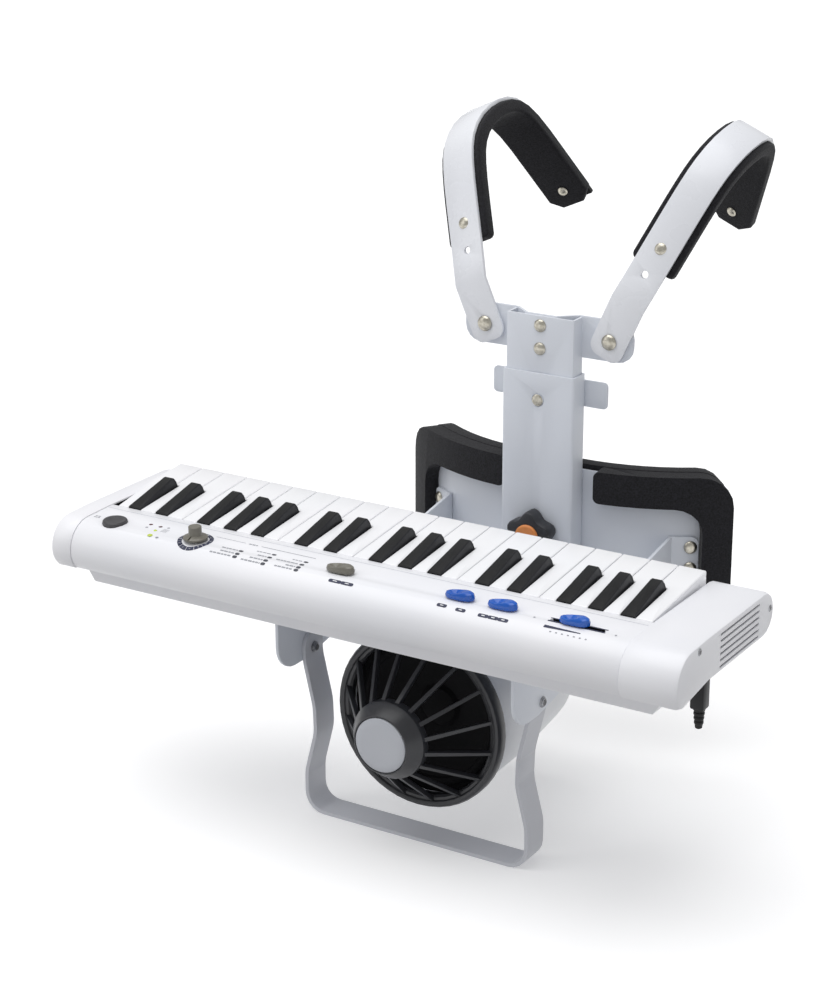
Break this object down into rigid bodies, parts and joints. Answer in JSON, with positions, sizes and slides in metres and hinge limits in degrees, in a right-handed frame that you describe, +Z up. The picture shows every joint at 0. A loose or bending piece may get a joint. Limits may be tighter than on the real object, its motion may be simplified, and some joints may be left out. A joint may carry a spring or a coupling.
{
  "type": "portable keyboard on a shoulder carrier",
  "caption": "Small electronic keyboard on a steel shoulder carrier, with a round speaker below, a belly plate, a height column and padded hooks.",
  "frame": {"origin": "centre of the belly pad's flat rear face, on the carrier's plane of symmetry", "axes": "+X towards the low keys, +Y towards the wearer, +Z up"},
  "size_m": [0.4455, 0.3785, 0.4276],
  "materials": {
    "white_plastic": "satin",
    "white_key": "satin",
    "black_key": "satin",
    "dark_plastic": "satin",
    "grey_plastic": "satin",
    "blue_plastic": "gloss",
    "painted_steel": "satin",
    "grey_steel": "satin",
    "foam": "matte"
  },
  "bodies": {
    "carrier": {"lower_case": "white_plastic", "upper_panel": "white_plastic", "connector_plug": "dark_plastic", "speaker_housing": "white_plastic", "speaker_grille": "dark_plastic", "speaker_driver": "dark_plastic", "cradle_frame": "painted_steel", "belly_plate": "painted_steel", "belly_pad": "foam", "column_sleeve": "painted_steel"},
    "foot_bar": {"foot_bar": "grey_steel"},
    "column_post": {"column_post": "painted_steel"},
    "height_latch": {"height_latch": "painted_steel"},
    "column_knob": {"column_knob": "dark_plastic"},
    "strap_left": {"strap_left": "painted_steel", "strap_pad_left": "foam"},
    "strap_right": {"strap_right": "painted_steel", "strap_pad_right": "foam"},
    "power_button": {"power_button": "dark_plastic"},
    "voice_knob": {"voice_knob": "grey_plastic"},
    "mode_switch": {"mode_switch": "grey_plastic"},
    "octave_switch": {"octave_switch": "blue_plastic"},
    "tone_switch": {"tone_switch": "blue_plastic"},
    "volume_slider": {"volume_slider": "blue_plastic"},
    "white_key_e6": {"white_key_e6": "white_key"},
    "black_key_d6_sharp": {"black_key_d6_sharp": "black_key"},
    "white_key_d6": {"white_key_d6": "white_key"},
    "black_key_c6_sharp": {"black_key_c6_sharp": "black_key"},
    "white_key_c6": {"white_key_c6": "white_key"},
    "white_key_b5": {"white_key_b5": "white_key"},
    "black_key_a5_sharp": {"black_key_a5_sharp": "black_key"},
    "white_key_a5": {"white_key_a5": "white_key"},
    "black_key_g5_sharp": {"black_key_g5_sharp": "black_key"},
    "white_key_g5": {"white_key_g5": "white_key"},
    "black_key_f5_sharp": {"black_key_f5_sharp": "black_key"},
    "white_key_f5": {"white_key_f5": "white_key"},
    "white_key_e5": {"white_key_e5": "white_key"},
    "black_key_d5_sharp": {"black_key_d5_sharp": "black_key"},
    "white_key_d5": {"white_key_d5": "white_key"},
    "black_key_c5_sharp": {"black_key_c5_sharp": "black_key"},
    "white_key_c5": {"white_key_c5": "white_key"},
    "white_key_b4": {"white_key_b4": "white_key"},
    "black_key_a4_sharp": {"black_key_a4_sharp": "black_key"},
    "white_key_a4": {"white_key_a4": "white_key"},
    "black_key_g4_sharp": {"black_key_g4_sharp": "black_key"},
    "white_key_g4": {"white_key_g4": "white_key"},
    "black_key_f4_sharp": {"black_key_f4_sharp": "black_key"},
    "white_key_f4": {"white_key_f4": "white_key"},
    "white_key_e4": {"white_key_e4": "white_key"},
    "black_key_d4_sharp": {"black_key_d4_sharp": "black_key"},
    "white_key_d4": {"white_key_d4": "white_key"},
    "black_key_c4_sharp": {"black_key_c4_sharp": "black_key"},
    "white_key_c4": {"white_key_c4": "white_key"},
    "white_key_b3": {"white_key_b3": "white_key"},
    "black_key_a3_sharp": {"black_key_a3_sharp": "black_key"},
    "white_key_a3": {"white_key_a3": "white_key"},
    "black_key_g3_sharp": {"black_key_g3_sharp": "black_key"},
    "white_key_g3": {"white_key_g3": "white_key"},
    "black_key_f3_sharp": {"black_key_f3_sharp": "black_key"},
    "white_key_f3": {"white_key_f3": "white_key"}
  },
  "joints": [
    {"name": "foot_bar_hinge", "type": "hinge", "parent": "carrier", "child": "foot_bar", "pos_m": [0, -0.173, -0.0345], "axis": [1, 0, 0], "range_deg": [-85, 18]},
    {"name": "height_slide", "type": "slide", "parent": "carrier", "child": "column_post", "axis": [0, 0, 1], "range_m": [-0.008, 0.05]},
    {"name": "strap_left_hinge", "type": "hinge", "parent": "column_post", "child": "strap_left", "pos_m": [-0.0459, -0.0175, 0.1487], "axis": [0, 1, 0], "range_deg": [-20, 25]},
    {"name": "strap_right_hinge", "type": "hinge", "parent": "column_post", "child": "strap_right", "pos_m": [0.0459, -0.0175, 0.1487], "axis": [0, -1, 0], "range_deg": [-20, 25]},
    {"name": "latch_pull", "type": "slide", "parent": "carrier", "child": "height_latch", "axis": [0, 1, 0], "range_m": [0, 0.008], "stiffness_N_per_m": 400, "springref_m": -0.004},
    {"name": "column_knob_turn", "type": "hinge", "parent": "carrier", "child": "column_knob", "pos_m": [0, -0.04, 0.014], "axis": [0, -1, 0], "range_deg": [0, 180]},
    {"name": "power_press", "type": "slide", "parent": "carrier", "child": "power_button", "axis": [0, 0.03, -0.9996], "range_m": [0, 0.0012], "stiffness_N_per_m": 600, "springref_m": -0.001},
    {"name": "voice_turn", "type": "hinge", "parent": "carrier", "child": "voice_knob", "pos_m": [-0.1394, -0.2172, 0.04072], "axis": [0, -0.03, 0.9996], "range_deg": [-135, 135]},
    {"name": "mode_slide", "type": "slide", "parent": "carrier", "child": "mode_switch", "axis": [1, 0, 0], "range_m": [-0.003, 0.003]},
    {"name": "octave_slide", "type": "slide", "parent": "carrier", "child": "octave_switch", "axis": [1, 0, 0], "range_m": [-0.003, 0.003]},
    {"name": "tone_slide", "type": "slide", "parent": "carrier", "child": "tone_switch", "axis": [1, 0, 0], "range_m": [-0.003, 0.003]},
    {"name": "volume_slide", "type": "slide", "parent": "carrier", "child": "volume_slider", "axis": [1, 0, 0], "range_m": [-0.012, 0.016]},
    {"name": "white_key_e6_press", "type": "hinge", "parent": "carrier", "child": "white_key_e6", "pos_m": [-0.215, -0.206, 0.0317], "axis": [-1, 0, 0], "range_deg": [0, 3], "stiffness_Nm_per_rad": 0.1, "springref_deg": -17.19},
    {"name": "black_key_d6_sharp_press", "type": "hinge", "parent": "carrier", "child": "black_key_d6_sharp", "pos_m": [-0.20732, -0.206, 0.0317], "axis": [-1, 0, 0], "range_deg": [0, 3], "stiffness_Nm_per_rad": 0.1, "springref_deg": -17.19},
    {"name": "white_key_d6_press", "type": "hinge", "parent": "carrier", "child": "white_key_d6", "pos_m": [-0.1964, -0.206, 0.0317], "axis": [-1, 0, 0], "range_deg": [0, 3], "stiffness_Nm_per_rad": 0.1, "springref_deg": -17.19},
    {"name": "black_key_c6_sharp_press", "type": "hinge", "parent": "carrier", "child": "black_key_c6_sharp", "pos_m": [-0.18548, -0.206, 0.0317], "axis": [-1, 0, 0], "range_deg": [0, 3], "stiffness_Nm_per_rad": 0.1, "springref_deg": -17.19},
    {"name": "white_key_c6_press", "type": "hinge", "parent": "carrier", "child": "white_key_c6", "pos_m": [-0.1778, -0.206, 0.0317], "axis": [-1, 0, 0], "range_deg": [0, 3], "stiffness_Nm_per_rad": 0.1, "springref_deg": -17.19},
    {"name": "white_key_b5_press", "type": "hinge", "parent": "carrier", "child": "white_key_b5", "pos_m": [-0.1592, -0.206, 0.0317], "axis": [-1, 0, 0], "range_deg": [0, 3], "stiffness_Nm_per_rad": 0.1, "springref_deg": -17.19},
    {"name": "black_key_a5_sharp_press", "type": "hinge", "parent": "carrier", "child": "black_key_a5_sharp", "pos_m": [-0.15232, -0.206, 0.0317], "axis": [-1, 0, 0], "range_deg": [0, 3], "stiffness_Nm_per_rad": 0.1, "springref_deg": -17.19},
    {"name": "white_key_a5_press", "type": "hinge", "parent": "carrier", "child": "white_key_a5", "pos_m": [-0.1406, -0.206, 0.0317], "axis": [-1, 0, 0], "range_deg": [0, 3], "stiffness_Nm_per_rad": 0.1, "springref_deg": -17.19},
    {"name": "black_key_g5_sharp_press", "type": "hinge", "parent": "carrier", "child": "black_key_g5_sharp", "pos_m": [-0.1313, -0.206, 0.0317], "axis": [-1, 0, 0], "range_deg": [0, 3], "stiffness_Nm_per_rad": 0.1, "springref_deg": -17.19},
    {"name": "white_key_g5_press", "type": "hinge", "parent": "carrier", "child": "white_key_g5", "pos_m": [-0.122, -0.206, 0.0317], "axis": [-1, 0, 0], "range_deg": [0, 3], "stiffness_Nm_per_rad": 0.1, "springref_deg": -17.19},
    {"name": "black_key_f5_sharp_press", "type": "hinge", "parent": "carrier", "child": "black_key_f5_sharp", "pos_m": [-0.11027, -0.206, 0.0317], "axis": [-1, 0, 0], "range_deg": [0, 3], "stiffness_Nm_per_rad": 0.1, "springref_deg": -17.19},
    {"name": "white_key_f5_press", "type": "hinge", "parent": "carrier", "child": "white_key_f5", "pos_m": [-0.1034, -0.206, 0.0317], "axis": [-1, 0, 0], "range_deg": [0, 3], "stiffness_Nm_per_rad": 0.1, "springref_deg": -17.19},
    {"name": "white_key_e5_press", "type": "hinge", "parent": "carrier", "child": "white_key_e5", "pos_m": [-0.0848, -0.206, 0.0317], "axis": [-1, 0, 0], "range_deg": [0, 3], "stiffness_Nm_per_rad": 0.1, "springref_deg": -17.19},
    {"name": "black_key_d5_sharp_press", "type": "hinge", "parent": "carrier", "child": "black_key_d5_sharp", "pos_m": [-0.07712, -0.206, 0.0317], "axis": [-1, 0, 0], "range_deg": [0, 3], "stiffness_Nm_per_rad": 0.1, "springref_deg": -17.19},
    {"name": "white_key_d5_press", "type": "hinge", "parent": "carrier", "child": "white_key_d5", "pos_m": [-0.0662, -0.206, 0.0317], "axis": [-1, 0, 0], "range_deg": [0, 3], "stiffness_Nm_per_rad": 0.1, "springref_deg": -17.19},
    {"name": "black_key_c5_sharp_press", "type": "hinge", "parent": "carrier", "child": "black_key_c5_sharp", "pos_m": [-0.05528, -0.206, 0.0317], "axis": [-1, 0, 0], "range_deg": [0, 3], "stiffness_Nm_per_rad": 0.1, "springref_deg": -17.19},
    {"name": "white_key_c5_press", "type": "hinge", "parent": "carrier", "child": "white_key_c5", "pos_m": [-0.0476, -0.206, 0.0317], "axis": [-1, 0, 0], "range_deg": [0, 3], "stiffness_Nm_per_rad": 0.1, "springref_deg": -17.19},
    {"name": "white_key_b4_press", "type": "hinge", "parent": "carrier", "child": "white_key_b4", "pos_m": [-0.029, -0.206, 0.0317], "axis": [-1, 0, 0], "range_deg": [0, 3], "stiffness_Nm_per_rad": 0.1, "springref_deg": -17.19},
    {"name": "black_key_a4_sharp_press", "type": "hinge", "parent": "carrier", "child": "black_key_a4_sharp", "pos_m": [-0.02212, -0.206, 0.0317], "axis": [-1, 0, 0], "range_deg": [0, 3], "stiffness_Nm_per_rad": 0.1, "springref_deg": -17.19},
    {"name": "white_key_a4_press", "type": "hinge", "parent": "carrier", "child": "white_key_a4", "pos_m": [-0.0104, -0.206, 0.0317], "axis": [-1, 0, 0], "range_deg": [0, 3], "stiffness_Nm_per_rad": 0.1, "springref_deg": -17.19},
    {"name": "black_key_g4_sharp_press", "type": "hinge", "parent": "carrier", "child": "black_key_g4_sharp", "pos_m": [-0.0011, -0.206, 0.0317], "axis": [-1, 0, 0], "range_deg": [0, 3], "stiffness_Nm_per_rad": 0.1, "springref_deg": -17.19},
    {"name": "white_key_g4_press", "type": "hinge", "parent": "carrier", "child": "white_key_g4", "pos_m": [0.0082, -0.206, 0.0317], "axis": [-1, 0, 0], "range_deg": [0, 3], "stiffness_Nm_per_rad": 0.1, "springref_deg": -17.19},
    {"name": "black_key_f4_sharp_press", "type": "hinge", "parent": "carrier", "child": "black_key_f4_sharp", "pos_m": [0.01992, -0.206, 0.0317], "axis": [-1, 0, 0], "range_deg": [0, 3], "stiffness_Nm_per_rad": 0.1, "springref_deg": -17.19},
    {"name": "white_key_f4_press", "type": "hinge", "parent": "carrier", "child": "white_key_f4", "pos_m": [0.0268, -0.206, 0.0317], "axis": [-1, 0, 0], "range_deg": [0, 3], "stiffness_Nm_per_rad": 0.1, "springref_deg": -17.19},
    {"name": "white_key_e4_press", "type": "hinge", "parent": "carrier", "child": "white_key_e4", "pos_m": [0.0454, -0.206, 0.0317], "axis": [-1, 0, 0], "range_deg": [0, 3], "stiffness_Nm_per_rad": 0.1, "springref_deg": -17.19},
    {"name": "black_key_d4_sharp_press", "type": "hinge", "parent": "carrier", "child": "black_key_d4_sharp", "pos_m": [0.05308, -0.206, 0.0317], "axis": [-1, 0, 0], "range_deg": [0, 3], "stiffness_Nm_per_rad": 0.1, "springref_deg": -17.19},
    {"name": "white_key_d4_press", "type": "hinge", "parent": "carrier", "child": "white_key_d4", "pos_m": [0.064, -0.206, 0.0317], "axis": [-1, 0, 0], "range_deg": [0, 3], "stiffness_Nm_per_rad": 0.1, "springref_deg": -17.19},
    {"name": "black_key_c4_sharp_press", "type": "hinge", "parent": "carrier", "child": "black_key_c4_sharp", "pos_m": [0.07492, -0.206, 0.0317], "axis": [-1, 0, 0], "range_deg": [0, 3], "stiffness_Nm_per_rad": 0.1, "springref_deg": -17.19},
    {"name": "white_key_c4_press", "type": "hinge", "parent": "carrier", "child": "white_key_c4", "pos_m": [0.0826, -0.206, 0.0317], "axis": [-1, 0, 0], "range_deg": [0, 3], "stiffness_Nm_per_rad": 0.1, "springref_deg": -17.19},
    {"name": "white_key_b3_press", "type": "hinge", "parent": "carrier", "child": "white_key_b3", "pos_m": [0.1012, -0.206, 0.0317], "axis": [-1, 0, 0], "range_deg": [0, 3], "stiffness_Nm_per_rad": 0.1, "springref_deg": -17.19},
    {"name": "black_key_a3_sharp_press", "type": "hinge", "parent": "carrier", "child": "black_key_a3_sharp", "pos_m": [0.10808, -0.206, 0.0317], "axis": [-1, 0, 0], "range_deg": [0, 3], "stiffness_Nm_per_rad": 0.1, "springref_deg": -17.19},
    {"name": "white_key_a3_press", "type": "hinge", "parent": "carrier", "child": "white_key_a3", "pos_m": [0.1198, -0.206, 0.0317], "axis": [-1, 0, 0], "range_deg": [0, 3], "stiffness_Nm_per_rad": 0.1, "springref_deg": -17.19},
    {"name": "black_key_g3_sharp_press", "type": "hinge", "parent": "carrier", "child": "black_key_g3_sharp", "pos_m": [0.1291, -0.206, 0.0317], "axis": [-1, 0, 0], "range_deg": [0, 3], "stiffness_Nm_per_rad": 0.1, "springref_deg": -17.19},
    {"name": "white_key_g3_press", "type": "hinge", "parent": "carrier", "child": "white_key_g3", "pos_m": [0.1384, -0.206, 0.0317], "axis": [-1, 0, 0], "range_deg": [0, 3], "stiffness_Nm_per_rad": 0.1, "springref_deg": -17.19},
    {"name": "black_key_f3_sharp_press", "type": "hinge", "parent": "carrier", "child": "black_key_f3_sharp", "pos_m": [0.15013, -0.206, 0.0317], "axis": [-1, 0, 0], "range_deg": [0, 3], "stiffness_Nm_per_rad": 0.1, "springref_deg": -17.19},
    {"name": "white_key_f3_press", "type": "hinge", "parent": "carrier", "child": "white_key_f3", "pos_m": [0.157, -0.206, 0.0317], "axis": [-1, 0, 0], "range_deg": [0, 3], "stiffness_Nm_per_rad": 0.1, "springref_deg": -17.19}
  ]
}
